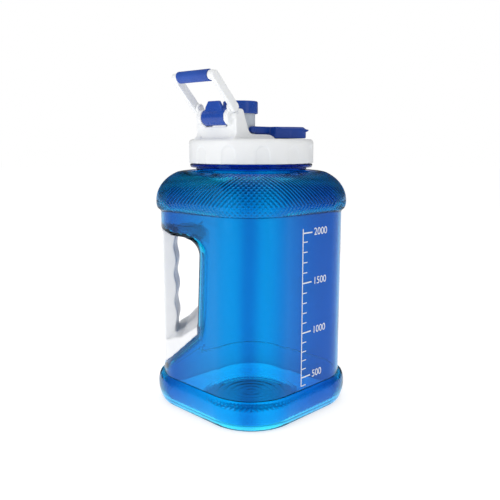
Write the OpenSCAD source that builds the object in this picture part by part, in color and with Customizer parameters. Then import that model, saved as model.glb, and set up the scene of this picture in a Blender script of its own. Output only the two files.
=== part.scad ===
/* Large square water jug with a side grip, a screw cap, a flip spout lid, a port flap and a carry loop. */
/* The jug stands on z = 0 with its axis on Z. The body's diagonals lie along X and Y, the grip at -X. */

/* [Jug body] */
// Width of the body across its flats
body_w = 130; // [124:1:136]
// Radius of the body's vertical corners
corner_r = 39; // [34:1:42]
// Wall thickness of the body
wall = 2.2; // [1.6:0.2:2.6]
// Height of the step where the base band ends
step_z = 24; // [20:1:28]
// Height where the shoulder band starts
shoulder_z = 164.7; // [160:1:175]
// How far the base band stands out
base_bulge = 4.8; // [2:0.2:6]
// How far the shoulder band stands out
shoulder_bulge = 3.1; // [2:0.1:5]

/* [Neck and thread] */
// Outer radius of the neck
neck_r = 45.6; // [44:0.2:46]
// Thread pitch, the rise of the cap in one turn
pitch = 6; // [5:0.5:6]
// Length of the thread in turns
thread_turns = 1.25; // [1:0.05:1.3]

/* [Grip] */
// Width of the grip bar
grip_w = 26; // [20:1:30]
// Spacing of the finger bumps
finger_pitch = 23.4; // [20:0.2:25]
// Height of a finger bump over a groove
finger_depth = 1.8; // [1:0.1:3]

/* [Cap] */
// Outer radius of the cap
cap_r = 51.3; // [51:0.1:53]
// Number of arched grip recesses round the skirt
recesses = 12; // [8:1:12]
// Turn of the cap about the jug's axis when it is closed
cap_turn = 50; // [0:5:355]

/* [Spout, lid and loop] */
// Outer radius of the spout
spout_r = 11.8; // [11:0.1:11.8]
// Outer radius of the lid's hood
hood_r = 14; // [14:0.1:14.4]
// Length of the carry loop, from its pivot to the middle of its bar
loop_len = 30.5; // [30:0.5:34]
// Lean of the carry loop, back from upright
loop_lean = 45; // [20:5:60]

/* [Hidden] */
$fn = 96;

// Body: half width, distance from the axis to each corner's centre, and tip of a corner.
half_w = body_w / 2;
corner_c = (half_w - corner_r) * sqrt(2);
corner_tip = corner_c + corner_r;
floor_t = 3;
foot_inset = 1.2;
bulge_mid_z = 16;
shoulder_mid_z = shoulder_z + 6.7;
dome_h = 26;
dome_in = 31;
dome_end_z = shoulder_mid_z + 24.9;
punt_r = 40;
punt_h = 1.6;

// Neck: flange under the cap, rim, bore and thread.
flange_r = 50.6;
flange_z = 199.4;
flange_t = 2.6;
rim_z = 218.2;
bore_r = neck_r - 2.4;
thread_z = 205.8;
thread_out = 1.8;
thread_root_w = 3.2;
thread_tip_w = 1.4;
thread_sink = 0.4;
thread_step = 10;
thread_ramp = 3;
thread_start = 4;

// Recess for the hand: ceiling, inner wall and sloping ledge, as distances from the axis and heights.
ceiling_z = 144.6;
ceiling_round = 12;
ceiling_lift = 0.33;
ceiling_flat_x = 62;
recess_in_top = 40;
recess_in_low = 42.6;
ledge_in_z = 69;
ledge_slope = 1.127;
recess_out = 84;

// Grip: bar and foot.
grip_gap = 0.6;
grip_in = 63.2;
first_bump_z = 75.2;
foot_top_in_z = 76;
foot_top_out_z = 62.8;
foot_top_out_x = 57;
foot_join_z = 60.5;

// Cap: skirt, deck and thread.
cap_z = 202.6;
cap_top_z = 221.9;
cap_in_r = 48.4;
deck_z = 219.4;
rim_round = 3;
recess_half_w = 5.6;
recess_arch_z = 211;
recess_cut = 0.8;
recess_phase = -10;
gasket_w = 4;

// Side walls of the cap: inner and outer faces, and the split between ear and loop arm.
wall_in = 15.5;
wall_out = 21;
ear_in = 14.8;
ear_out = 17.6;
ear_back = 42.5;
tower_top_z = 231.2;
tower_front = 35;

// Pivots, as places along the cap's front direction and heights.
lid_x = -41;
lid_z = 238.3;
barrel_r = 6.3;
barrel_half = 11.6;
collar_in = 12;
ear_collar_r = 6.6;
pin_r = 1;
pin_half = 19.3;
loop_x = -43.5;
loop_z = 245.5;
knuckle_r = 3.6;
peg_r = 2;
running = 0.05;
arm_in = 17.9;
arm_out = 21.5;
arm_w = 6.7;
bar_r = 3;

// Spout, hood and seals.
spout_x = -13.5;
spout_in_r = 9.3;
spout_top_z = 246;
spigot_r = 11;
spigot_z = 216;
flare_r = 13.8;
hood_z = 241.8;
hood_top_z = 251.7;
hood_in_r = 12.8;
hood_roof_z = 249.2;
plug_gap = 0.6;
plug_h = 2;
o_ring_z = 220.65;
o_ring_r = 11.7;
o_ring_section = 0.64;
o_ring_groove = 0.7;
arm_half = 10;
tab_low_z = 240;
tab_mid_z = 246;
tab_top_z = 250.5;
tab_half = 8.5;
tab_top_half = 5.4;
tab_t = 3;

// Port flap: fork, head, seal and port.
flap_x = -16;
flap_z = 229.2;
fork_in = 12.6;
fork_out = 15.2;
fork_r = 2.7;
trunnion_r = 1.8;
flap_low_z = 222.6;
flap_top_z = 231.9;
flap_back = 5.8;
lip_z = 228.2;
lip_t = 1.6;
lip_from_x = 28;
lip_half = 38;
head_r = 45.5;
lip_r = 47.2;
port_x = 24;
port_r = 12.5;
collar_r = 15;
collar_z = 224.5;
pad_z = 225.7;

// Points of an arc of an ellipse, from angle a to angle b.
function arc(cx, cy, rx, ry, a, b, n) = [for (i = [0 : n]) let (t = a + (b - a) * i / n)
    [cx + rx * cos(t), cy + ry * sin(t)]];

// Side profile of the body, measured from a corner's centre, drawn in by the given inset.
function body_profile(inset, low, top) = concat(
    [[0, low]],
    arc(corner_r - foot_inset - inset, bulge_mid_z, base_bulge + foot_inset, bulge_mid_z - low, -90, 0, 5),
    arc(corner_r - inset, bulge_mid_z, base_bulge, step_z - bulge_mid_z, 20, 90, 4),
    arc(corner_r - inset, shoulder_mid_z, shoulder_bulge, shoulder_mid_z - shoulder_z, -90, -20, 4),
    arc(corner_r - inset + shoulder_bulge - dome_in, shoulder_mid_z, dome_in, dome_h - inset, 0,
        asin((top - shoulder_mid_z) / (dome_h - inset)), 6),
    [[0, top]]);

// A rounded square column with the body's profile, its diagonals along X and Y.
module body_form(inset, low, top) {
    side = half_w - corner_r;
    rotate(45) {
        for (k = [0 : 3])
            rotate(90 * k) {
                translate([side, side, 0])
                    rotate_extrude(angle = 90)
                        polygon(body_profile(inset, low, top));
                translate([side, side, 0])
                    rotate([90, 0, 0])
                        linear_extrude(2 * side)
                            polygon(body_profile(inset, low, top));
            }
        translate([-side, -side, low])
            cube([2 * side, 2 * side, top - low]);
    }
}

// Outline of the hand recess in the XZ plane, grown into the body by the given amount.
function recess_outline(grow) = concat(
    arc(-recess_in_top - ceiling_round, ceiling_z - ceiling_round, ceiling_round + grow,
        ceiling_round + grow, 0, 90, 8),
    [[-ceiling_flat_x, ceiling_z + grow],
     [-recess_out, ceiling_z + grow + (recess_out - ceiling_flat_x) * ceiling_lift],
     [-recess_out, ledge_in_z - (recess_out - recess_in_low) * ledge_slope - 1.5 * grow],
     [-recess_in_low + grow, ledge_in_z - 0.4 * grow]]);

module recess_form(grow) {
    translate([0, body_w / 2, 0])
        rotate([90, 0, 0])
            linear_extrude(body_w)
                polygon(recess_outline(grow));
}

// A helical rib: its root is sunk into the wall by thread_sink, and its ends run out.
module thread_rib(root_r, tip_r, z0) {
    n = round(360 * thread_turns / thread_step);
    rings = [for (i = [0 : n])
        let (a = i * thread_step)
        let (z = z0 + pitch * a / 360)
        let (full = min(1, (i + 0.4) / thread_ramp, (n - i + 0.4) / thread_ramp))
        let (r = root_r + (tip_r - root_r) * full)
        [[root_r * cos(a), root_r * sin(a), z - thread_root_w / 2],
         [r * cos(a), r * sin(a), z - thread_tip_w / 2],
         [r * cos(a), r * sin(a), z + thread_tip_w / 2],
         [root_r * cos(a), root_r * sin(a), z + thread_root_w / 2]]];
    outward = tip_r > root_r;
    sides = [for (i = [0 : n - 1]) for (k = [0 : 3])
        let (next = (k + 1) % 4)
        outward ? [4 * i + k, 4 * i + next, 4 * i + 4 + next, 4 * i + 4 + k]
                : [4 * i + 4 + k, 4 * i + 4 + next, 4 * i + next, 4 * i + k]];
    first = outward ? [3, 2, 1, 0] : [0, 1, 2, 3];
    last = outward ? [4 * n, 4 * n + 1, 4 * n + 2, 4 * n + 3] : [4 * n + 3, 4 * n + 2, 4 * n + 1, 4 * n];
    polyhedron([for (ring = rings) each ring], concat(sides, [first], [last]));
}

// The blow-moulded body with its neck, flange and thread.
module bottle_body() {
    color("#0a82d7")
        difference() {
            union() {
                difference() {
                    body_form(0, 0, dome_end_z);
                    recess_form(0);
                }
                translate([0, 0, dome_end_z - 1])
                    cylinder(r = neck_r, h = rim_z - dome_end_z + 1);
                translate([0, 0, flange_z])
                    cylinder(r = flange_r, h = flange_t);
                rotate(thread_start)
                    thread_rib(neck_r - thread_sink, neck_r + thread_out, thread_z);
            }
            difference() {
                body_form(wall, floor_t, dome_end_z - wall);
                recess_form(wall);
            }
            translate([0, 0, shoulder_mid_z])
                cylinder(r = bore_r, h = rim_z - shoulder_mid_z + 1);
            translate([0, 0, -1])
                cylinder(r1 = punt_r + 2, r2 = punt_r - 4, h = punt_h + 1);
        }
}

// Inner edge of the grip bar, waved for the fingers.
function finger_edge(low, top) = [for (z = [low : 2.6 : top])
    [-grip_in + finger_depth / 2 * cos(360 * (z - first_bump_z) / finger_pitch), z]];

// The moulded hand grip: a waved bar and a foot that lies on the sloping ledge.
module handle_grip() {
    lift = function (x) ceiling_z + max(0, x - ceiling_flat_x) * ceiling_lift;
    ledge = function (x) ledge_in_z - (x - recess_in_low) * ledge_slope;
    color("white")
        intersection() {
            union() {
                translate([0, grip_w / 2, 0])
                    rotate([90, 0, 0])
                        linear_extrude(grip_w)
                            polygon(concat(finger_edge(foot_join_z - 4, ceiling_z - 2),
                                [[-grip_in, lift(grip_in)],
                                 [-corner_tip, lift(corner_tip)],
                                 [-corner_tip, ledge(corner_tip) + 8]]));
                translate([0, body_w / 2, 0])
                    rotate([90, 0, 0])
                        linear_extrude(body_w)
                            polygon([[-recess_in_low, ledge_in_z],
                                [-recess_in_low + 0.2, foot_top_in_z],
                                [-foot_top_out_x, foot_top_out_z],
                                [-grip_in, foot_join_z],
                                [-corner_tip, foot_join_z - 8],
                                [-corner_tip, ledge(corner_tip)]]);
            }
            linear_extrude(dome_end_z)
                polygon(grip_plan(grip_gap));
        }
}

// The -X half of the body's plain section, set in by the gap that keeps the grip under the surface.
function grip_plan(gap) = concat(
    arc(-corner_c, 0, corner_r - gap, corner_r - gap, 135, 225, 24),
    [[0, -(half_w - gap) * sqrt(2)], [0, (half_w - gap) * sqrt(2)]]);

// Everything on the cap is drawn with the cap's front along X, then turned to its closed place.
module on_cap() {
    rotate(cap_turn)
        children();
}

// A cylinder along the hinge direction, between two distances from the middle plane.
module cross_pin(x, z, r, from, to) {
    translate([x, from, z])
        rotate([-90, 0, 0])
            cylinder(r = r, h = to - from);
}

// The same cylinder on both sides of the middle plane.
module cross_pair(x, z, r, from, to) {
    cross_pin(x, z, r, from, to);
    mirror([0, 1, 0])
        cross_pin(x, z, r, from, to);
}

// A plate standing along the front direction, from its outline in the XZ plane, on both sides.
module side_pair(points, from, to) {
    for (m = [0, 1])
        mirror([0, m, 0])
            translate([0, to, 0])
                rotate([90, 0, 0])
                    linear_extrude(to - from)
                        polygon(points);
}

// Lower edge shared by the side walls: behind it the foot flares out to the skirt.
function wall_foot() = concat([[6, cap_top_z - 1], [-46.4, cap_top_z - 1]],
    arc(-ear_back - 5.5, cap_top_z + 5, 5.5, 5, -60, 0, 5));

// Front edge of an ear, down to the rail and out to the rail's end.
function rail_edge() = concat(
    arc(-36.2, 241.8, 2.8, 2.6, 90, 0, 4),
    arc(-21.8, 232.8, 7.4, 7.3, 190, 270, 6),
    [[-5, 225.5]],
    arc(-5, 221, 11, 4.5, 70, 20, 3));

module side_walls() {
    side_pair(concat(wall_foot(), [[-ear_back, 241], [-39.4, 241], [-39.4, 244.4]], rail_edge()),
        ear_out, wall_out);
    side_pair(concat(wall_foot(), [[-ear_back, 244.4]], rail_edge()), wall_in, ear_out);
    side_pair([[-ear_back, tower_top_z], [-ear_back, loop_z], [loop_x + knuckle_r - 0.4, loop_z],
        [-34, 241], [-34, tower_top_z]], ear_in, ear_out);
    cross_pair(loop_x, loop_z, knuckle_r, ear_in, ear_out);
    cross_pair(lid_x, lid_z, ear_collar_r, collar_in, ear_out - 1);
}

// The skirt and deck, turned about the jug's axis.
module cap_drum() {
    rotate_extrude()
        polygon(concat([[0, deck_z], [cap_in_r, deck_z], [cap_in_r, cap_z], [cap_r, cap_z]],
            arc(cap_r - rim_round, cap_top_z - rim_round, rim_round, rim_round, 0, 90, 4),
            [[0, cap_top_z]]));
}

// Arched recesses round the skirt, open at its lower edge.
module skirt_recesses() {
    for (k = [0 : recesses - 1])
        rotate(recess_phase + 360 / recesses * k)
            translate([cap_r - recess_cut, 0, 0])
                rotate([90, 0, 90])
                    linear_extrude(3)
                        union() {
                            translate([0, recess_arch_z])
                                circle(r = recess_half_w);
                            translate([-recess_half_w, cap_z - 1])
                                square([2 * recess_half_w, recess_arch_z - cap_z + 1]);
                        }
}

// The screw cap with its tower, ears and rails.
module cap_shell() {
    color("#f4f6f8")
        on_cap()
            difference() {
                union() {
                    cap_drum();
                    side_walls();
                    translate([-ear_back, -wall_in - 0.5, cap_top_z - 1])
                        cube([ear_back - tower_front, 2 * wall_in + 1, tower_top_z - cap_top_z + 1]);
                    translate([port_x, 0, cap_top_z - 1])
                        cylinder(r = collar_r, h = collar_z - cap_top_z + 1);
                    rotate(thread_start - cap_turn)
                        thread_rib(cap_in_r + thread_sink, cap_in_r - thread_out - 0.3, thread_z + pitch / 2);
                }
                skirt_recesses();
                translate([spout_x, 0, deck_z - 1])
                    cylinder(r = spigot_r + running, h = cap_top_z - deck_z + 2);
                translate([spout_x, 0, o_ring_z - o_ring_groove])
                    cylinder(r = o_ring_r + o_ring_groove, h = 2 * o_ring_groove);
                translate([port_x, 0, deck_z - 1])
                    cylinder(r = port_r, h = collar_z - deck_z + 2);
                cross_pair(lid_x, lid_z, pin_r + 0.02, collar_in - 1, pin_half);
                cross_pair(loop_x, loop_z, peg_r + running, ear_in - 1, ear_out + 1);
            }
}

// The flat sealing ring between the neck's rim and the cap's deck.
module cap_gasket() {
    color("#d8dde2")
        translate([0, 0, rim_z])
            difference() {
                cylinder(r = neck_r + 1, h = deck_z - rim_z - running);
                translate([0, 0, -1])
                    cylinder(r = neck_r + 1 - gasket_w, h = deck_z - rim_z + 2);
            }
}

// The drinking spout: a tube with a flared foot, a spigot through the deck and two trunnions.
module spout() {
    color("#e3e8ee")
        on_cap()
            difference() {
                union() {
                    translate([spout_x, 0, 0])
                        rotate_extrude()
                            polygon(concat([[0, spigot_z], [spigot_r + 0.5, spigot_z],
                                [spigot_r + 0.5, deck_z - 1.2], [spigot_r, deck_z - 0.2], [spigot_r, cap_top_z],
                                [flare_r, cap_top_z]],
                                arc(flare_r, 225.6, flare_r - spout_r, 2.4, 270, 180, 5),
                                [[spout_r, spout_top_z], [0, spout_top_z]]));
                    cross_pair(flap_x, flap_z, trunnion_r, 9, fork_out);
                }
                translate([spout_x, 0, spigot_z - 1])
                    cylinder(r = spout_in_r, h = spout_top_z - spigot_z + 2);
            }
}

// The ring that seals the spout's spigot in the deck.
module spout_o_ring() {
    color("#2b2f36")
        on_cap()
            translate([spout_x, 0, o_ring_z])
                rotate_extrude()
                    translate([o_ring_r, 0])
                        circle(r = o_ring_section, $fn = 24);
}

// The flip lid: a hinge barrel with a thumb tab, an arm and a hood over the spout.
module spout_lid() {
    color("#16387f")
        on_cap()
            difference() {
                union() {
                    cross_pin(lid_x, lid_z, barrel_r, -barrel_half, barrel_half);
                    translate([0, arm_half, 0])
                        rotate([90, 0, 0])
                            linear_extrude(2 * arm_half)
                                polygon([[lid_x, lid_z], [lid_x, lid_z + barrel_r], [spout_x - 10, 248],
                                    [spout_x - 10, hood_z], [-33, hood_z], [-34.9, lid_z]]);
                    translate([lid_x - 4.6, 0, 0])
                        rotate([90, 0, 90])
                            linear_extrude(tab_t)
                                polygon([[-tab_half, tab_low_z], [-tab_half, tab_mid_z],
                                    [-tab_top_half, tab_top_z], [tab_top_half, tab_top_z],
                                    [tab_half, tab_mid_z], [tab_half, tab_low_z]]);
                    translate([spout_x, 0, 0])
                        rotate_extrude()
                            polygon(concat([[0, hood_z], [hood_r, hood_z]],
                                arc(hood_r - 1, hood_top_z - 1, 1, 1, 0, 90, 4), [[0, hood_top_z]]));
                }
                translate([spout_x, 0, hood_z - 1])
                    cylinder(r = hood_in_r, h = hood_roof_z - hood_z + 1);
                cross_pin(lid_x, lid_z, pin_r + running, -barrel_half - 1, barrel_half + 1);
            }
}

// The soft seal in the hood: a pad on the spout's rim and a short plug in its mouth.
module lid_seal() {
    color("#dfe6ee")
        on_cap()
            translate([spout_x, 0, 0]) {
                translate([0, 0, spout_top_z])
                    cylinder(r = hood_in_r - running, h = hood_roof_z - spout_top_z - running);
                translate([0, 0, spout_top_z - plug_h])
                    cylinder(r = spout_in_r - plug_gap, h = plug_h + 0.5);
            }
}

// The steel pin through the ears and the lid's barrel.
module lid_pin() {
    color("silver")
        on_cap()
            cross_pin(lid_x, lid_z, pin_r, -pin_half, pin_half);
}

// The loop is drawn upright over its pivot, then leaned back.
module on_loop() {
    on_cap()
        translate([loop_x, 0, loop_z])
            rotate([0, -loop_lean, 0])
                children();
}

// The carry loop: two arms with pegs that snap into the ears, joined by a round bar.
module carry_loop() {
    color("#f4f6f8")
        on_loop() {
            side_pair(concat([[-arm_w / 2, 0], [arm_w / 2, 0]],
                arc(0, loop_len, arm_w / 2, arm_w / 2, 0, 180, 10)), arm_in, arm_out);
            cross_pair(0, 0, knuckle_r, arm_in, arm_out);
            cross_pair(0, 0, peg_r, ear_in + 0.1, arm_in + 0.5);
            cross_pin(0, loop_len, bar_r, -arm_in - 0.5, arm_in + 0.5);
        }
}

// The soft grip sleeve on the loop's bar.
module loop_grip() {
    color("#2150aa")
        on_loop()
            difference() {
                union() {
                    cross_pin(0, loop_len + 0.6, 3.9, -arm_in, arm_in);
                    cross_pin(0, loop_len - 0.6, 3.9, -arm_in, arm_in);
                    translate([-3.9, -arm_in, loop_len - 0.6])
                        cube([7.8, 2 * arm_in, 1.2]);
                }
                cross_pin(0, loop_len, bar_r + running, -arm_in - 1, arm_in + 1);
            }
}

// Plan outline of the flap's head: a fan inside a circle about the jug's axis.
module flap_plan(r) {
    intersection() {
        circle(r = r);
        difference() {
            polygon([[flap_back, -21], [16, -29], [32, -34], [50, -34], [50, 34], [32, 34], [16, 29],
                [flap_back, 21]]);
            translate([spout_x, 0])
                circle(r = 24);
        }
    }
}

// The flap over the filling port: a fork that turns on the spout's trunnions and a wide head.
module port_flap() {
    color("#2150aa")
        on_cap()
            difference() {
                union() {
                    translate([0, 0, flap_low_z])
                        linear_extrude(flap_top_z - flap_low_z)
                            flap_plan(head_r);
                    translate([0, 0, lip_z])
                        linear_extrude(lip_t)
                            intersection() {
                                circle(r = lip_r);
                                translate([lip_from_x, -lip_half])
                                    square([lip_r - lip_from_x, 2 * lip_half]);
                            }
                    side_pair([[flap_x, flap_z - fork_r], [12, flap_z - fork_r], [12, flap_z + fork_r],
                        [flap_x, flap_z + fork_r]], fork_in, fork_out);
                    cross_pair(flap_x, flap_z, fork_r, fork_in, fork_out);
                }
                translate([port_x, 0, flap_low_z - 1])
                    cylinder(r = collar_r + 1, h = pad_z - flap_low_z + 1);
                cross_pair(flap_x, flap_z, trunnion_r + running, fork_in - 1, fork_out + 1);
            }
}

// The soft seal under the flap: a pad on the port's collar and a short plug in the port.
module port_seal() {
    color("#dfe6ee")
        on_cap()
            translate([port_x, 0, 0]) {
                translate([0, 0, collar_z])
                    cylinder(r = collar_r - 0.5, h = pad_z - collar_z);
                translate([0, 0, collar_z - plug_h])
                    cylinder(r = port_r - 0.8, h = plug_h + 0.5);
            }
}

bottle_body();
handle_grip();
cap_shell();
cap_gasket();
spout();
spout_o_ring();
spout_lid();
lid_seal();
lid_pin();
carry_loop();
loop_grip();
port_flap();
port_seal();
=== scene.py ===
"""Looks for the large square water jug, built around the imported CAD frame.

Lengths are in millimetres until a mesh is made.
"""
import math

import bpy
import numpy as np
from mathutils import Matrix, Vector


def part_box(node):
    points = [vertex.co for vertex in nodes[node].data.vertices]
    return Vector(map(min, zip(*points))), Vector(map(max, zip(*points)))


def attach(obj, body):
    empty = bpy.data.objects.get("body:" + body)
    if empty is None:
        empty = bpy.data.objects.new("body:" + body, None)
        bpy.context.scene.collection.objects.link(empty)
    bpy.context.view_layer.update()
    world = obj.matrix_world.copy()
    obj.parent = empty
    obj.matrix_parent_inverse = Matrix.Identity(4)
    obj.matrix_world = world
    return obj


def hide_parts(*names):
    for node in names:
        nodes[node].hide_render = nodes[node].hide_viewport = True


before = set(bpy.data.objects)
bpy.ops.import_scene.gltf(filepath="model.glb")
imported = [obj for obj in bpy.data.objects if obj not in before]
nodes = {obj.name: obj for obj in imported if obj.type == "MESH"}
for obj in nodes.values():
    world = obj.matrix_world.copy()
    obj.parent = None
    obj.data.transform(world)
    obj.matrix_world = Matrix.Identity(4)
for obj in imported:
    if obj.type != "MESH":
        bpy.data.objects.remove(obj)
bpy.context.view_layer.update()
MM = 0.001

# ---------------------------------------------------------------- sizes
rim_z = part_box("bottle_body")[1].z / MM
half_w = 65.0                       # half the body's width across its flats
corner_r = 39.0                     # radius of the body's vertical corners
wall = 2.2                          # thickness of the side
floor_t = 3.0
neck_r = 45.6
neck_root_z = 197.0
bore_r = 43.2
flange_r = 50.6
flange_low, flange_high = 199.4, 202.0
bulge_z, step_z, base_bulge, foot_inset = 16.0, 24.0, 4.8, 1.2
shoulder_z, shoulder_mid = 164.7, 171.4
shoulder_bulge, dome_h = 3.1, 26.0
dome_tip_in, dome_flat_in = 31.0, 26.0      # how far the dome draws in at the corners and the flats
dome_end = 24.9                     # height of the dome that is used
punt_r, punt_h = 40.0, 1.6
cap_turn = math.radians(50)         # where the cap's front points, about Z
ROOT_HALF = math.sqrt(0.5)
wall_gap = 0.6                      # between the straight side's rows and the arcs next to it
centre_r = 1.0                      # radius of the smallest ring round the axis
recess_roll = 5.0                   # how softly the hand recess meets the outer wall
close_low, close_high = 126, 166    # heights between which the rows lie closer, round the ceiling
row_gap = 3.0                       # the widest step between rows that is left alone


# ---------------------------------------------------------------- small mesh tools
def new_object(name, verts, faces):
    """A mesh object from points in millimetres."""
    mesh = bpy.data.meshes.new(name)
    mesh.from_pydata((np.asarray(verts, float) * MM).tolist(), [], [tuple(f) for f in faces])
    mesh.validate()
    obj = bpy.data.objects.new(name, mesh)
    bpy.context.scene.collection.objects.link(obj)
    return obj


def loft(name, rings):
    """A closed surface through rings of equal length, with a fan over each end."""
    rings = np.asarray(rings, float)
    rows, cols = rings.shape[:2]
    verts = rings.reshape(-1, 3)
    i, j = np.meshgrid(np.arange(rows - 1), np.arange(cols), indexing="ij")
    a = i * cols + j
    b = i * cols + (j + 1) % cols
    faces = np.stack([a, b, b + cols, a + cols], -1).reshape(-1, 4).tolist()
    verts = np.vstack([verts, rings[0].mean(0), rings[-1].mean(0)])
    low, high = rows * cols, rows * cols + 1
    last = (rows - 1) * cols
    faces += [(low, (k + 1) % cols, k) for k in range(cols)]
    faces += [(high, last + k, last + (k + 1) % cols) for k in range(cols)]
    return new_object(name, verts, faces)


def apply_modifiers(obj):
    """Bakes an object's modifiers into its mesh."""
    depsgraph = bpy.context.evaluated_depsgraph_get()
    mesh = bpy.data.meshes.new_from_object(obj.evaluated_get(depsgraph))
    obj.modifiers.clear()
    old = obj.data
    obj.data = mesh
    bpy.data.meshes.remove(old)
    return obj


def smooth_shading(obj, angle=None):
    """Smooth normals everywhere, or only across edges flatter than the angle."""
    obj.data.polygons.foreach_set("use_smooth", [True] * len(obj.data.polygons))
    if angle is not None:
        obj.data.set_sharp_from_angle(angle=math.radians(angle))
    obj.data.update()
    return obj


def cap_frame(points):
    """Turns points from the cap's own frame (front along X) to where the cap sits when closed."""
    front, side, up = np.moveaxis(np.asarray(points, float), -1, 0)
    c, s = math.cos(cap_turn), math.sin(cap_turn)
    return np.stack([front * c - side * s, front * s + side * c, up], -1)


def edit_in_cap_frame(obj, change):
    """Moves an object's points by a function of their front, side and height in the cap's frame."""
    points = np.empty(len(obj.data.vertices) * 3)
    obj.data.vertices.foreach_get("co", points)
    x, y, z = points.reshape(-1, 3).T / MM
    c, s = math.cos(cap_turn), math.sin(cap_turn)
    moved = cap_frame(np.stack(change(x * c + y * s, y * c - x * s, z), -1)) * MM
    obj.data.vertices.foreach_set("co", moved.ravel())
    obj.data.update()
    return obj


def rod(x, z, r, y_from, y_to):
    """A round rod along the hinge direction, as rings for a loft, in the cap's own frame."""
    turn = np.linspace(0, 2 * math.pi, 32, endpoint=False)
    return [[(x + r * math.cos(a), y, z - r * math.sin(a)) for a in turn] for y in (y_from, y_to)]


def join(parts):
    """Joins objects into the first of them."""
    with bpy.context.temp_override(active_object=parts[0], object=parts[0], selected_objects=parts,
                                   selected_editable_objects=parts):
        bpy.ops.object.join()
    return parts[0]


def moulded(node, name, voxel, passes, extras=()):
    """A copy of a CAD node with edges rounded off as in a moulding; extras are lofts to add."""
    obj = bpy.data.objects.new(name, nodes[node].data.copy())
    bpy.context.scene.collection.objects.link(obj)
    obj.data.materials.clear()
    if extras:
        join([obj] + [loft("extra", cap_frame(rings)) for rings in extras])
    weld = obj.modifiers.new("weld", "WELD")
    weld.merge_threshold = 0.004 * MM
    remesh = obj.modifiers.new("remesh", "REMESH")
    remesh.mode = "VOXEL"
    remesh.voxel_size = voxel * MM
    relax = obj.modifiers.new("relax", "SMOOTH")
    relax.factor = 0.5
    relax.iterations = passes
    apply_modifiers(obj)
    return smooth_shading(obj)


# ---------------------------------------------------------------- jug body
def section(phi, half, radius):
    """Distance from the axis at angle phi, for a rounded square whose diagonals lie on X and Y."""
    psi = np.abs(np.mod(phi, math.pi / 2) - math.pi / 4)
    centre = (half - radius) * math.sqrt(2)
    on_flat = np.tan(psi) * half <= (half - radius) + 1e-9
    turn = psi - math.pi / 4
    arc = centre * np.cos(turn) + np.sqrt(np.maximum(radius**2 - (centre * np.sin(turn)) ** 2, 0))
    return np.where(on_flat, half / np.cos(psi), arc)


def ellipse_rows(mid_half, mid_z, out, rise, start, end, count):
    """(half width, height) pairs along an arc of an ellipse."""
    return [(mid_half + out * math.cos(t), mid_z + rise * math.sin(t))
            for t in np.radians(np.linspace(start, end, count))]


def body_rows(inset, low, fine):
    """(half width, corner radius, height) up the body's side, from the foot to the neck's root."""
    side = half_w - inset
    foot = ellipse_rows(side - foot_inset, bulge_z, base_bulge + foot_inset, bulge_z - low,
                        -90, 0, 5 * fine)
    step = ellipse_rows(side, bulge_z, base_bulge, step_z - bulge_z, 10, 90, 4 * fine)
    straight = [(side, z) for z in np.linspace(step_z + wall_gap, shoulder_z - wall_gap, 12)]
    bulge = ellipse_rows(side, shoulder_mid, shoulder_bulge, shoulder_mid - shoulder_z,
                         -90, -10, 5 * fine)
    rows = [(half, half - half_w + corner_r, z) for half, z in foot + step + straight + bulge]
    rise = dome_h - inset
    top = math.asin((dome_end - inset) / rise)
    widest = side + shoulder_bulge
    corner_out = (corner_r - half_w) * (1 - math.sqrt(2))
    for t in np.linspace(0, top, 16 * fine):
        fall = 1 - math.cos(t)
        half = widest - dome_flat_in * fall
        tip = widest + corner_out - dome_tip_in * fall
        radius = (half - tip * ROOT_HALF) / (1 - ROOT_HALF)
        rows.append((half, radius, shoulder_mid + rise * math.sin(t)))
    return rows


def circle_rows(points):
    """Rows of a round part from (radius, height) pairs."""
    return [(r, r, z) for r, z in points]


def fillet(cx, cz, r, start, end):
    """(radius, height) pairs round an arc."""
    return ellipse_rows(cx, cz, r, r, start, end, 5)


def rings_from(rows, columns):
    """Turns rows into rings of points."""
    phi = np.linspace(-math.pi / 2, 1.5 * math.pi, columns, endpoint=False)
    rings = []
    for half, radius, z in rows:
        r = section(phi, half, min(radius, half))
        rings.append(np.stack([r * np.cos(phi), r * np.sin(phi), np.full(columns, z)], -1))
    return np.array(rings)


def underside_rows():
    """Rows from the middle of the base out to the foot: a shallow hollow with raised rings."""
    ring_pitch, ring_h, plain_edge = 6.5, 0.35, 6.0
    rows = []
    foot_half = half_w - foot_inset
    for r in np.linspace(centre_r, foot_half - 1.5, 36):
        hollow = punt_h * max(0.0, 1 - (r / punt_r) ** 2) ** 0.5
        ripple = 0.0
        if r < punt_r - plain_edge:
            ripple = ring_h * max(0.0, math.cos(r / ring_pitch * 2 * math.pi))
        square = min(1.0, max(0.0, (r - punt_r) / (foot_half - punt_r)))
        radius = r + (corner_r - foot_inset - r) * square
        rows.append((r, min(r, radius), hollow - ripple))
    return rows


def ridge(phase):
    """A rounded ridge once in each turn of the phase."""
    return (0.5 + 0.5 * np.cos(2 * math.pi * phase)) ** 1.5


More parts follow.
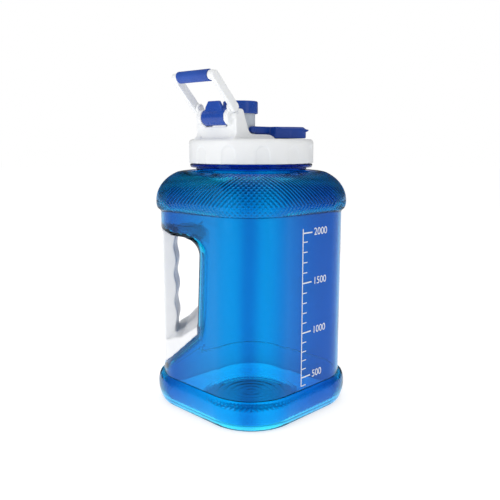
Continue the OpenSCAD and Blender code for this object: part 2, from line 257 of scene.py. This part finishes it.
def knurl(rings):
    """Raises the herringbone knurl of the shoulder and the short ribs over the base step."""
    target_pitch, turn_at, lean = 3.9, 9.0, 0.95
    dome_height, teeth_height, rib_height, fine_height = 0.62, 0.45, 0.6, 0.26
    band_end, front_reach, straight_z = 196.4, 20.0, 100
    around = np.roll(rings, -1, 1) - np.roll(rings, 1, 1)
    up = np.gradient(rings, axis=0)
    normal = np.cross(around, up)
    normal /= np.linalg.norm(normal, axis=2, keepdims=True) + 1e-12
    reference = rings[np.argmin(np.abs(rings[:, 0, 2] - straight_z))]
    step = np.linalg.norm(np.roll(reference, -1, 0) - reference, axis=1)
    along = np.concatenate([[0], np.cumsum(step)[:-1]])
    whole = step.sum()
    along = np.minimum(along, whole - along)
    rise = np.linalg.norm(np.diff(rings[:, 0], axis=0), axis=1)
    climb = np.concatenate([[0], np.cumsum(rise)])
    z = rings[:, :, 2]
    t = (climb - climb[np.argmax(z[:, 0] >= shoulder_z)])[:, None]
    quarter = whole / 4
    pitch = quarter / round(quarter / target_pitch)
    along = along[None, :]
    bend = lean * np.abs(t - turn_at)
    band = np.clip(z - shoulder_z - 0.3, 0, 1) * np.clip((band_end - z) / 1.5, 0, 1) * (t > 0)
    crossed = ridge((along - bend) / pitch) * np.exp(-(along / front_reach) ** 2)
    height = dome_height * band * np.maximum(ridge((along + bend) / pitch), crossed)
    teeth = ridge(along / (pitch * 0.5)) * np.exp(-((z - shoulder_z - 0.2) / 0.9) ** 2)
    ribs = ridge(along / (pitch * 0.75)) * np.exp(-((z - step_z + 1.6) / 1.5) ** 2)
    ribs *= z < step_z + 1
    fine = ridge((along + lean * np.abs(z - bulge_z)) / pitch) * np.clip((z - 7) / 4, 0, 1)
    fine *= z < step_z - 2.5
    height += teeth_height * teeth + rib_height * ribs + fine_height * fine
    return rings + normal * height[:, :, None]


def recess_wall(z):
    """How far out along -X the body reaches at a height, where the hand recess cuts it back."""
    ceiling, bend, top_in, low_in = 144.6, 12.0, 40.0, 42.6
    ledge_z, slope, flat, lift = 69.0, 1.127, 62.0, 0.33
    wide = 90.0                     # beyond the body: not cut back
    arc_z = ceiling - bend
    ledge = low_in + np.maximum(ledge_z - z, 0) / slope
    side = low_in + (top_in - low_in) * np.clip((z - ledge_z) / (arc_z - ledge_z), 0, 1)
    drop = np.clip(z - arc_z, 0, bend)
    arc = top_in + bend - np.sqrt(np.maximum(bend**2 - drop**2, 0))
    above = flat + np.maximum(z - ceiling, 0) / lift
    reach = np.select([z < ledge_z, z < arc_z, z < ceiling], [ledge, side, arc], above)
    return np.minimum(reach, wide)


def cut_recess(rings, inset, roll):
    """Pushes the corner in to the recess wall, with a rolled edge where the two surfaces meet."""
    lip_height, lip_back, lip_width, lip_low, lip_high = 0.9, 4.5, 2.2, step_z + 6, 152
    x, y, z = np.moveaxis(rings, -1, 0)
    nearest = np.minimum.reduce([recess_wall(z - inset), recess_wall(z + inset), recess_wall(z)])
    limit = inset - nearest
    gap = limit - x
    mix = np.clip(0.5 + 0.5 * gap / roll, 0, 1)
    lip = lip_height * np.exp(-(((gap + lip_back) / lip_width) ** 2))
    lip *= (z > lip_low) & (z < lip_high)
    pushed = x * (1 - mix) + limit * mix + roll * 0.5 * mix * (1 - mix)
    return np.stack([pushed, y * (1 + lip / np.hypot(x, y)), z], -1)


def add_thread(rings):
    """Raises the helical rib of the neck's thread."""
    start_z, pitch, turns, proud, rib_half, run_out = 205.8, 6.0, 1.25, 1.8, 1.9, 1 / 12
    x, y, z = np.moveaxis(rings, -1, 0)
    turn = np.mod(np.arctan2(y, x), 2 * math.pi) / (2 * math.pi)
    height = np.zeros_like(z)
    for lap in (0, 1):
        at = turn + lap
        ends = np.clip(at / run_out, 0, 1) * np.clip((turns - at) / run_out, 0, 1)
        rib = np.clip(rib_half - np.abs(z - start_z - pitch * at), 0, 1)
        height = np.maximum(height, ends * rib)
    height *= (z > flange_high + 0.5) & (np.hypot(x, y) > neck_r - 0.6)
    scale = 1 + proud * height / np.hypot(x, y)
    return np.stack([x * scale, y * scale, z], -1)


def filled_rows(rows, close, wide):
    """Rows with more put in where they are far apart, close together round the recess's ceiling."""
    filled = [rows[0]]
    for row in rows[1:]:
        last = filled[-1]
        gap = abs(row[2] - last[2])
        if gap > row_gap:
            count = int(gap / (close if close_low < row[2] < close_high else wide)) + 1
            filled += [tuple(np.array(last) + (np.array(row) - np.array(last)) * k / count)
                       for k in range(1, count)]
        filled.append(row)
    return filled


def make_jug():
    """The blow-moulded body: a knurled outer skin, the rim, and an inner skin inside it."""
    columns = 640
    flange_edge, rim_edge, root_edge = 0.5, 0.8, 1.4
    neck = circle_rows(
        [(49.4, neck_root_z), (47.6, 197.3)]
        + fillet(neck_r + root_edge, 198.7, root_edge, 260, 180)
        + [(neck_r, flange_low)]
        + fillet(flange_r - flange_edge, flange_low + flange_edge, flange_edge, -90, 0)
        + fillet(flange_r - flange_edge, flange_high - flange_edge, flange_edge, 0, 90)
        + [(neck_r, flange_high + 0.1)]
        + [(neck_r, z) for z in np.arange(203.2, 217.2, 0.6)]
        + fillet(neck_r - rim_edge, rim_z - rim_edge, rim_edge, 0, 90)
        + [(bore_r, rim_z - 0.02), (bore_r, neck_root_z)])
    side = underside_rows() + filled_rows(body_rows(0.0, 0.0, 4), 1.2, 3.0)
    skin = cut_recess(knurl(rings_from(side, columns)), 0.0, recess_roll)
    top = add_thread(rings_from(neck, columns))
    inner = filled_rows(body_rows(wall, floor_t, 1)[::-1], 1.8, 4.0)
    inside = cut_recess(rings_from(inner, columns), wall, recess_roll)
    floor = circle_rows([(r, floor_t + 0.05) for r in (44.0, 20.0, centre_r)])
    floor_rows = rings_from(floor, columns)
    return smooth_shading(loft("jug_body", np.concatenate([skin, top, inside, floor_rows])), 50)


# ---------------------------------------------------------------- printed scale
def panel_point(along, z, lift):
    """A point on the right front panel: how far along from its middle, how high, how proud."""
    out = (half_w + lift) * ROOT_HALF
    return (out + along * ROOT_HALF, -out + along * ROOT_HALF, z)


def water_levels():
    """Heights inside the body and the millilitres below each, summed from the inside's sections."""
    step = 0.5
    rows = np.array(body_rows(wall, floor_t, 1))
    phi = np.linspace(0, 2 * math.pi, 720, endpoint=False)
    heights = np.arange(floor_t, shoulder_z, step)
    areas = []
    for z in heights:
        half, radius = (np.interp(z, rows[:, 2], rows[:, k]) for k in (0, 1))
        r = section(phi, half, radius)
        x, y = np.maximum(r * np.cos(phi), wall - recess_wall(z)), r * np.sin(phi)
        areas.append(0.5 * np.sum(x * np.roll(y, -1) - np.roll(x, -1) * y))
    return heights, np.cumsum(np.array(areas) * step) / 1000


def make_scale():
    """A plain millilitre scale, printed as thin ink: ticks, a spine and round numbers."""
    ink_top, ink_back, lettering_z = 0.12, 0.02, 0.1        # heights of the ink over the wall
    lowest, highest, tick_every, number_every, spine_over = 400, 2000, 100, 500, 50
    spine, spine_half = -9.0, 0.45
    number_at, number_size, number_thickness = 4.0, 8.2, 0.05
    parts = []
    heights, volumes = water_levels()

    def level_of(millilitres):
        """The height of a volume."""
        return float(np.interp(millilitres, volumes, heights))

    def bar(along_a, along_b, z_a, z_b):
        """A thin rectangle of ink."""
        corners = [(along_a, z_a), (along_b, z_a), (along_b, z_b), (along_a, z_b)]
        points = [panel_point(along, z, lift)
                  for lift in (ink_top, ink_back) for along, z in corners]
        faces = [(0, 1, 2, 3), (7, 6, 5, 4), (0, 4, 5, 1), (1, 5, 6, 2), (2, 6, 7, 3), (3, 7, 4, 0)]
        parts.append(new_object("scale_bar", points, faces))

    bar(spine - spine_half, spine + spine_half, level_of(lowest), level_of(highest + spine_over))
    for volume in range(lowest, highest + 1, tick_every):
        z = level_of(volume)
        length, half = (11.0, 0.5) if volume % number_every == 0 else (5.5, 0.35)
        bar(spine, spine + length, z - half, z + half)
    for volume in range(number_every, highest + 1, number_every):
        curve = bpy.data.curves.new("scale_number", "FONT")
        curve.body = str(volume)
        curve.size = number_size * MM
        curve.extrude = number_thickness * MM
        curve.align_x = "LEFT"
        curve.align_y = "CENTER"
        curve.resolution_u = 5
        number = bpy.data.objects.new("scale_number", curve)
        bpy.context.scene.collection.objects.link(number)
        number.location = Vector(panel_point(number_at, level_of(volume), lettering_z)) * MM
        number.rotation_euler = (math.pi / 2, 0, math.pi / 4)
        bpy.context.view_layer.update()
        depsgraph = bpy.context.evaluated_depsgraph_get()
        mesh = bpy.data.meshes.new_from_object(number.evaluated_get(depsgraph))
        mesh.transform(number.matrix_world)
        bpy.data.objects.remove(number)
        solid = bpy.data.objects.new("scale_number_mesh", mesh)
        bpy.context.scene.collection.objects.link(solid)
        parts.append(solid)
    scale = join(parts)
    scale.name = "volume_scale"
    return scale


# ---------------------------------------------------------------- materials
def material(name):
    """A new material, its node tree, its shader and the object's own coordinates."""
    mat = bpy.data.materials.new(name)
    mat.use_nodes = True
    tree = mat.node_tree
    shader = tree.nodes["Principled BSDF"]
    coords = tree.nodes.new("ShaderNodeTexCoord")
    return mat, tree, shader, coords.outputs["Object"]


def noise(tree, coords, scale, detail):
    """Noise, its scale in features per metre."""
    node = tree.nodes.new("ShaderNodeTexNoise")
    node.inputs["Scale"].default_value = scale
    node.inputs["Detail"].default_value = detail
    tree.links.new(coords, node.inputs["Vector"])
    return node.outputs["Fac"]


def ramp(tree, factor, low, high):
    """A colour between two, over the middle third of a noise."""
    node = tree.nodes.new("ShaderNodeValToRGB")
    for stop, position, colour in zip(node.color_ramp.elements, (0.35, 0.65), (low, high)):
        stop.position = position
        stop.color = (*colour, 1)
    tree.links.new(factor, node.inputs["Fac"])
    return node.outputs["Color"]


def spread(tree, factor, low, high):
    """A value between two."""
    node = tree.nodes.new("ShaderNodeMapRange")
    node.inputs["To Min"].default_value = low
    node.inputs["To Max"].default_value = high
    tree.links.new(factor, node.inputs["Value"])
    return node.outputs["Result"]


def bump(tree, shader, height, strength, distance):
    """Gives a shader a bump of a depth in metres."""
    node = tree.nodes.new("ShaderNodeBump")
    node.inputs["Strength"].default_value = strength
    node.inputs["Distance"].default_value = distance
    tree.links.new(height, node.inputs["Height"])
    tree.links.new(node.outputs["Normal"], shader.inputs["Normal"])


def along_axis(tree, coords, axis, low, high):
    """0 to 1 along one axis of the object's own coordinates, in metres."""
    split = tree.nodes.new("ShaderNodeSeparateXYZ")
    tree.links.new(coords, split.inputs[0])
    node = tree.nodes.new("ShaderNodeMapRange")
    node.inputs["From Min"].default_value = low
    node.inputs["From Max"].default_value = high
    tree.links.new(split.outputs[axis], node.inputs["Value"])
    return node.outputs["Result"]


def clear_blue():
    """Tinted clear copolyester, with upright bands of painted highlight and painted shade laid
    along X in its colour, standing in for the softboxes' reflections on the corners and the dark
    edges, and a deeper tint in the neck.
    """
    mat, tree, shader, coords = material("clear_blue_plastic")
    # painted light: a colour ramp along object X puts painted highlight bands where the softboxes
    # reflect and painted shade towards the edges
    painted_light_bands = tree.nodes.new("ShaderNodeValToRGB")
    painted_light_bands.color_ramp.interpolation = "B_SPLINE"
    # the three colours: painted shade at the edges, a painted half shade, and the painted highlight
    # of the softbox reflections
    painted_shade, middle, light = (0.002, 0.25, 0.62, 1), (0.003, 0.37, 0.72, 1), (0.004, 0.5, 0.82, 1)
    stops = painted_light_bands.color_ramp.elements
    stops[0].color = stops[1].color = painted_shade
    stops[1].position = 0.88
    for position, colour in ((0.12, middle), (0.3, light), (0.42, light), (0.47, middle),
                             (0.52, middle), (0.57, light), (0.64, light), (0.74, middle)):
        stops.new(position).color = colour
    drift = tree.nodes.new("ShaderNodeMath")
    drift.operation = "MULTIPLY_ADD"
    drift.inputs[1].default_value = 0.05
    tree.links.new(noise(tree, coords, 9, 2), drift.inputs[0])
    tree.links.new(along_axis(tree, coords, "X", -0.068, 0.072), drift.inputs[2])
    tree.links.new(drift.outputs[0], painted_light_bands.inputs["Fac"])
    neck = tree.nodes.new("ShaderNodeMix")
    neck.data_type = "RGBA"
    tree.links.new(along_axis(tree, coords, "Z", 0.1965, 0.1985), neck.inputs["Factor"])
    tree.links.new(painted_light_bands.outputs["Color"], neck.inputs["A"])
    neck.inputs["B"].default_value = (0.006, 0.045, 0.5, 1)
    tree.links.new(neck.outputs["Result"], shader.inputs["Base Color"])
    tree.links.new(spread(tree, noise(tree, coords, 90, 2), 0.02, 0.07), shader.inputs["Roughness"])
    shader.inputs["Transmission Weight"].default_value = 1.0
    shader.inputs["IOR"].default_value = 1.42
    shader.inputs["Specular IOR Level"].default_value = 0.15
    shader.inputs["Specular Tint"].default_value = (0.15, 0.5, 0.9, 1)
    bump(tree, shader, noise(tree, coords, 26, 1), 0.12, 0.002)
    return mat


def plastic(name, low, high, rough_low, rough_high, grain=900, transmission=0, subsurface=0):
    """Moulded plastic: faint flow marks, a fine spark-eroded grain and uneven gloss."""
    mat, tree, shader, coords = material(name)
    tree.links.new(ramp(tree, noise(tree, coords, 35, 4), low, high), shader.inputs["Base Color"])
    gloss = spread(tree, noise(tree, coords, 160, 3), rough_low, rough_high)
    tree.links.new(gloss, shader.inputs["Roughness"])
    shader.inputs["Transmission Weight"].default_value = transmission
    if subsurface:
        shader.inputs["Subsurface Weight"].default_value = subsurface
        shader.inputs["Subsurface Radius"].default_value = (0.004, 0.004, 0.0045)
        shader.inputs["Subsurface Scale"].default_value = 1.0
    bump(tree, shader, noise(tree, coords, grain, 2), 0.05, 0.0004)
    return mat


def ink():
    """White printing ink with a slightly uneven cover."""
    mat, tree, shader, coords = material("white_ink")
    tree.links.new(ramp(tree, noise(tree, coords, 400, 3), (0.78, 0.82, 0.87), (0.9, 0.92, 0.95)),
                   shader.inputs["Base Color"])
    tree.links.new(spread(tree, noise(tree, coords, 300, 2), 0.4, 0.6), shader.inputs["Roughness"])
    return mat


def steel():
    """Drawn steel, with fine lines along the pin."""
    mat, tree, shader, coords = material("brushed_pin")
    stretch = tree.nodes.new("ShaderNodeMapping")
    stretch.inputs["Scale"].default_value = (0.1, 0.1, 1.0)
    tree.links.new(coords, stretch.inputs["Vector"])
    lines = noise(tree, stretch.outputs["Vector"], 2500, 2)
    tint = ramp(tree, lines, (0.45, 0.45, 0.46), (0.62, 0.62, 0.62))
    tree.links.new(tint, shader.inputs["Base Color"])
    tree.links.new(spread(tree, lines, 0.22, 0.4), shader.inputs["Roughness"])
    shader.inputs["Metallic"].default_value = 1.0
    return mat


def pale_floor():
    """A pale floor that glows a little, so that it runs into the white surroundings."""
    mat, tree, shader, coords = material("pale_floor")
    tree.links.new(ramp(tree, noise(tree, coords, 3, 2), (0.74, 0.745, 0.75), (0.77, 0.77, 0.77)),
                   shader.inputs["Base Color"])
    shader.inputs["Roughness"].default_value = 0.6
    shader.inputs["Specular IOR Level"].default_value = 0.1
    shader.inputs["Emission Color"].default_value = (1, 1, 1, 1)
    shader.inputs["Emission Strength"].default_value = 0.66
    return mat


# ---------------------------------------------------------------- pieces
def place(obj, body, node, mat):
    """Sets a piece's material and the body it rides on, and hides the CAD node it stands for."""
    obj.data.materials.clear()
    obj.data.materials.append(mat)
    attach(obj, body)
    if node:
        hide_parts(node)
    return obj


def shortened(obj, half):
    """Draws in a cap piece to a half width along the hinge."""
    return edit_in_cap_frame(obj, lambda front, side, z: (front, np.clip(side, -half, half), z))


def both_sides(x, z, r, inner, outer):
    """Two round rods along the hinge, one on each side, as rings for lofts."""
    return [rod(x, z, r, -outer, -inner), rod(x, z, r, inner, outer)]


def shaped_flap():
    """The port flap: a lip round its free edge, sides leaning in above a ridge, and a sunk top."""
    lip_profile = [(43.5, 227.4), (46.6, 228.1), (47.0, 229.0), (46.4, 229.8), (43.5, 230.0)]
    lip = [[(r * math.cos(a), r * math.sin(a), z) for r, z in lip_profile]
           for a in np.radians(np.linspace(-50, 50, 60))]
    hub_covers = both_sides(-16.0, 229.2, 2.6, 15.0, 15.9)
    ridge_z, top_z, middle, lean = 229.9, 231.9, 26.0, 0.07
    head_from, head_run = 7, 4              # where the strap widens into the head
    sunk_r, sunk_from, rim, slope, depth = 41.5, 13, 3.5, 1.2, 1.3

    def shape(front, side, z):
        """Where a point of the plain flap goes."""
        head = np.clip((front - head_from) / head_run, 0, 1)
        lean_in = 1 - lean * head * np.clip((z - ridge_z) / (top_z - ridge_z), 0, 1)
        half = np.interp(front, [5.2, 16, 32], [21.0, 29.0, 34.0])
        sunk = np.clip((sunk_r - np.hypot(front, side)) / slope, 0, 1)
        sunk *= np.clip((half - np.abs(side) - rim) / slope, 0, 1)
        sunk *= np.clip((front - sunk_from) / slope, 0, 1) * (z > top_z - 1)
        return middle + (front - middle) * lean_in, side * lean_in, z - depth * sunk

    return edit_in_cap_frame(moulded("port_flap", "port_cover", 0.5, 4, [lip] + hub_covers), shape)


# colours are the two ends of each plastic's range, then its roughness
white = plastic("white_polypropylene", (0.9, 0.915, 0.93), (0.93, 0.945, 0.955),
                0.28, 0.42, subsurface=0.12)
grip_white = plastic("grip_white", (0.88, 0.895, 0.92), (0.92, 0.93, 0.95),
                     0.25, 0.38, subsurface=0.12)
natural = plastic("natural_polypropylene", (0.6, 0.66, 0.73), (0.68, 0.73, 0.79),
                  0.3, 0.45, subsurface=0.2)
royal = plastic("royal_blue_plastic", (0.005, 0.05, 0.33), (0.008, 0.065, 0.4), 0.25, 0.4)
navy = plastic("navy_plastic", (0.007, 0.065, 0.4), (0.011, 0.085, 0.48),
               0.2, 0.34, transmission=0.1)
soft_blue = plastic("soft_blue_sleeve", (0.006, 0.06, 0.37), (0.009, 0.08, 0.44),
                    0.45, 0.6, grain=1600)
silicone = plastic("milky_silicone", (0.66, 0.7, 0.74), (0.72, 0.75, 0.79),
                   0.4, 0.55, subsurface=0.3)
black_rubber = plastic("black_rubber", (0.02, 0.02, 0.023), (0.03, 0.03, 0.034), 0.5, 0.7)

pin_covers = both_sides(-40.4, 238.3, 3.0, 15.2, 20.6)
bar_x, bar_z = -65.07, 267.07           # the loop's bar, with the loop leaned back
sleeve_half = 15.6
bar_ends = both_sides(bar_x, bar_z, 3.7, sleeve_half + 0.2, 18.8)

place(make_jug(), "jug", "bottle_body", clear_blue())
place(make_scale(), "jug", None, ink())
place(moulded("handle_grip", "hand_grip", 0.75, 8), "jug", "handle_grip", grip_white)
place(moulded("cap_shell", "screw_cap", 0.6, 3, pin_covers), "cap", "cap_shell", white)
place(moulded("spout", "spout_tube", 0.45, 3), "cap", "spout", natural)
place(moulded("spout_lid", "flip_lid", 0.42, 5), "lid", "spout_lid", navy)
place(moulded("carry_loop", "loop_frame", 0.4, 6, bar_ends), "loop", "carry_loop", white)
sleeve = shortened(moulded("loop_grip", "loop_sleeve", 0.35, 4), sleeve_half)
place(sleeve, "loop", "loop_grip", soft_blue)
place(shaped_flap(), "flap", "port_flap", royal)
for node, mat in (("cap_gasket", silicone), ("lid_seal", silicone), ("port_seal", silicone),
                  ("spout_o_ring", black_rubber), ("lid_pin", steel())):
    nodes[node].data.materials.clear()
    nodes[node].data.materials.append(mat)


# ---------------------------------------------------------------- studio
def area_light(name, place_at, aim, size, power):
    """A softbox: where it hangs, what it points at, its width and height in metres, its watts."""
    data = bpy.data.lights.new(name, "AREA")
    data.shape = "RECTANGLE"
    data.size, data.size_y = size
    data.energy = power
    lamp = bpy.data.objects.new(name, data)
    lamp.location = place_at
    lamp.rotation_euler = (Vector(aim) - Vector(place_at)).to_track_quat("-Z", "Y").to_euler()
    bpy.context.scene.collection.objects.link(lamp)


def make_floor():
    """A plain square floor."""
    half = 6000.0
    corners = [(-half, -half, 0), (half, -half, 0), (half, half, 0), (-half, half, 0)]
    floor = new_object("floor", corners, [(0, 1, 2, 3)])
    floor.data.materials.append(pale_floor())


def math_node(tree, operation, first, second):
    """Two values put together by an operation."""
    node = tree.nodes.new("ShaderNodeMath")
    node.operation = operation
    tree.links.new(first, node.inputs[0])
    tree.links.new(second, node.inputs[1])
    return node.outputs[0]


def make_world():
    """White surroundings: full strength where they are seen, softer where they light."""
    world = bpy.data.worlds.new("studio")
    world.use_nodes = True
    tree = world.node_tree
    background = tree.nodes["Background"]
    background.inputs["Color"].default_value = (1, 1, 1, 1)
    path = tree.nodes.new("ShaderNodeLightPath")
    seen = math_node(tree, "MAXIMUM", path.outputs["Is Camera Ray"],
                     path.outputs["Is Transmission Ray"])
    strength = spread(tree, seen, 0.5, 1.0)
    mirrored = spread(tree, path.outputs["Is Glossy Ray"], 1.0, 0.3)
    tree.links.new(math_node(tree, "MULTIPLY", strength, mirrored), background.inputs["Strength"])
    bpy.context.scene.world = world


def make_camera():
    """The photo's camera, solved from the body's outline: 217 mm up, pitched down 9.54 degrees."""
    data = bpy.data.cameras.new("camera")
    data.sensor_width = 36.0
    data.lens = 44.88
    camera = bpy.data.objects.new("camera", data)
    camera.location = (-0.001, -0.524, 0.217)
    camera.rotation_euler = (math.radians(90 - 9.54), 0, 0)
    bpy.context.scene.collection.objects.link(camera)
    bpy.context.scene.camera = camera


make_floor()
make_world()
make_camera()
area_light("left_softbox", (-0.95, -0.75, 0.55), (0, 0, 0.14), (0.5, 1.2), 4.2)
area_light("right_softbox", (0.85, -0.85, 0.5), (0, 0, 0.14), (0.3, 1.2), 1.0)
area_light("top_softbox", (0.1, 0.2, 1.3), (0, 0, 0.1), (1.4, 1.2), 3.2)
bpy.context.scene.view_settings.view_transform = "Standard"
